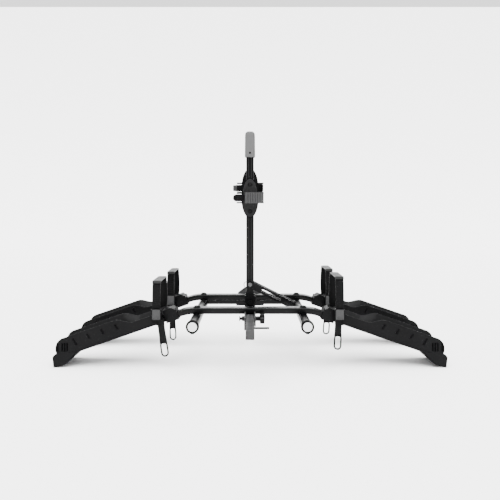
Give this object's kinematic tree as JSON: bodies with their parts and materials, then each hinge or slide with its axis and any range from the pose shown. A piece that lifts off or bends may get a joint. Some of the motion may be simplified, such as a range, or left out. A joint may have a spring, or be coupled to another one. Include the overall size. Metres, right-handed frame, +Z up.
{
  "type": "hitch bike rack",
  "caption": "Hitch-mounted platform bike rack with tilting platform, folding mast, ratchet frame clamps and sloping wheel trays with wheel straps.",
  "frame": {"origin": "where the hitch pin's axis crosses the middle of the square hitch tube", "axes": "+X across the car to the right as seen from the car, -Y along the hitch tube into the car's receiver, +Z up"},
  "size_m": [1.616, 0.7624, 0.998],
  "materials": {
    "black_steel": "satin black powder coat",
    "grey_steel": "fine dark grey powder coat",
    "dark_steel": "blackened",
    "zinc_steel": "zinc plated",
    "tray_plastic": "fine moulded grain",
    "black_plastic": "moulded",
    "knob_plastic": "moulded",
    "grey_plastic": "moulded",
    "pale_disc": "fine dimpled",
    "grey_rubber": "fine textured",
    "strap_rubber": "smooth",
    "grip_foam": "closed cell foam"
  },
  "bodies": {
    "hitch": {"stinger_tube": "grey_steel", "stinger_plug": "grey_plastic"},
    "hitch_pin": {"hitch_pin": "dark_steel", "hitch_pin_head": "dark_steel"},
    "platform": {"pivot_ears": "grey_steel", "pivot_nut": "dark_steel", "spine_tube": "black_steel", "spine_plug": "black_plastic", "side_rail_left": "black_steel", "side_rail_right": "black_steel", "rail_rings": "black_plastic", "rail_discs": "pale_disc", "rail_plugs": "black_plastic", "rear_member": "black_steel", "front_cross_tube": "black_steel", "rear_cross_tube": "black_steel", "saddle_bolts": "zinc_steel", "bolt_caps": "black_plastic", "pedal_bracket": "black_steel", "pedal_pin": "zinc_steel", "mast_bracket": "black_steel", "mast_pivot_bolt": "dark_steel", "brace_plates": "black_steel", "brace_foot": "black_steel", "brace_bolt": "dark_steel", "tray_front_left": "tray_plastic", "tray_front_right": "tray_plastic", "tray_rear_left": "tray_plastic", "tray_rear_right": "tray_plastic", "tray_feet": "tray_plastic", "tray_collars": "tray_plastic", "tray_screws": "zinc_steel", "strap_buckles": "black_plastic"},
    "tilt_knob": {"pivot_bolt": "dark_steel", "pivot_knob": "knob_plastic"},
    "pedal": {"tilt_pedal": "grey_steel"},
    "mast": {"mast_tube": "black_steel", "mast_core": "dark_steel", "handle_grip": "grip_foam", "front_clamp_plate": "black_plastic", "front_clamp_pad": "grey_rubber", "front_clamp_strap": "strap_rubber", "front_clamp_buckle": "black_plastic", "rear_clamp_plate": "black_plastic", "rear_clamp_pad": "grey_rubber", "rear_clamp_strap": "strap_rubber", "rear_clamp_buckle": "black_plastic", "clamp_bolts": "dark_steel"},
    "lock_pin": {"lock_pin": "zinc_steel", "lock_ring": "dark_steel"},
    "front_lever": {"front_clamp_lever": "grey_plastic"},
    "rear_lever": {"rear_clamp_lever": "grey_plastic"},
    "strap_front_left": {"strap_front_left": "strap_rubber"},
    "lever_front_left": {"lever_front_left": "grey_plastic"},
    "strap_front_right": {"strap_front_right": "strap_rubber"},
    "lever_front_right": {"lever_front_right": "grey_plastic"},
    "strap_rear_left": {"strap_rear_left": "strap_rubber"},
    "lever_rear_left": {"lever_rear_left": "grey_plastic"},
    "strap_rear_right": {"strap_rear_right": "strap_rubber"},
    "lever_rear_right": {"lever_rear_right": "grey_plastic"}
  },
  "joints": [
    {"name": "tilt", "type": "hinge", "parent": "hitch", "child": "platform", "pos_m": [0, 0.165, 0], "axis": [1, 0, 0], "range_deg": [0, 90]},
    {"name": "knob_turn", "type": "hinge", "parent": "platform", "child": "tilt_knob", "pos_m": [0, 0.165, 0], "axis": [1, 0, 0], "continuous": true},
    {"name": "hitch_pin_pull", "type": "slide", "parent": "hitch", "child": "hitch_pin", "axis": [-1, 0, 0], "range_m": [0, 0.08]},
    {"name": "mast_fold", "type": "hinge", "parent": "platform", "child": "mast", "pos_m": [0, 0.412, 0.024], "axis": [0, -1, 0], "range_deg": [0, 85]},
    {"name": "lock_pin_pull", "type": "slide", "parent": "mast", "child": "lock_pin", "axis": [0, -1, 0], "range_m": [0, 0.045]},
    {"name": "pedal_press", "type": "hinge", "parent": "platform", "child": "pedal", "pos_m": [0, 0.6175, 0.014], "axis": [-1, 0, 0], "range_deg": [0, 20], "stiffness_Nm_per_rad": 2, "springref_deg": -17.19},
    {"name": "front_lever_open", "type": "hinge", "parent": "mast", "child": "front_lever", "pos_m": [-0.018, 0.343, 0.493], "axis": [0, 0, -1], "range_deg": [0, 75]},
    {"name": "rear_lever_open", "type": "hinge", "parent": "mast", "child": "rear_lever", "pos_m": [-0.018, 0.481, 0.54], "axis": [0, 0, 1], "range_deg": [0, 75]},
    {"name": "front_left_strap_feed", "type": "slide", "parent": "platform", "child": "strap_front_left", "axis": [0, 0, 1], "range_m": [0, 0.02]},
    {"name": "front_left_lever_open", "type": "hinge", "parent": "platform", "child": "lever_front_left", "pos_m": [-0.381, 0.1675, 0.031], "axis": [-1, 0, 0], "range_deg": [0, 60]},
    {"name": "front_right_strap_feed", "type": "slide", "parent": "platform", "child": "strap_front_right", "axis": [0, 0, 1], "range_m": [0, 0.02]},
    {"name": "front_right_lever_open", "type": "hinge", "parent": "platform", "child": "lever_front_right", "pos_m": [0.365, 0.1675, 0.031], "axis": [-1, 0, 0], "range_deg": [0, 60]},
    {"name": "rear_left_strap_feed", "type": "slide", "parent": "platform", "child": "strap_rear_left", "axis": [0, 0, 1], "range_m": [0, 0.02]},
    {"name": "rear_left_lever_open", "type": "hinge", "parent": "platform", "child": "lever_rear_left", "pos_m": [-0.372, 0.4925, 0.031], "axis": [-1, 0, 0], "range_deg": [0, 60]},
    {"name": "rear_right_strap_feed", "type": "slide", "parent": "platform", "child": "strap_rear_right", "axis": [0, 0, 1], "range_m": [0, 0.02]},
    {"name": "rear_right_lever_open", "type": "hinge", "parent": "platform", "child": "lever_rear_right", "pos_m": [0.372, 0.4925, 0.031], "axis": [-1, 0, 0], "range_deg": [0, 60]}
  ]
}
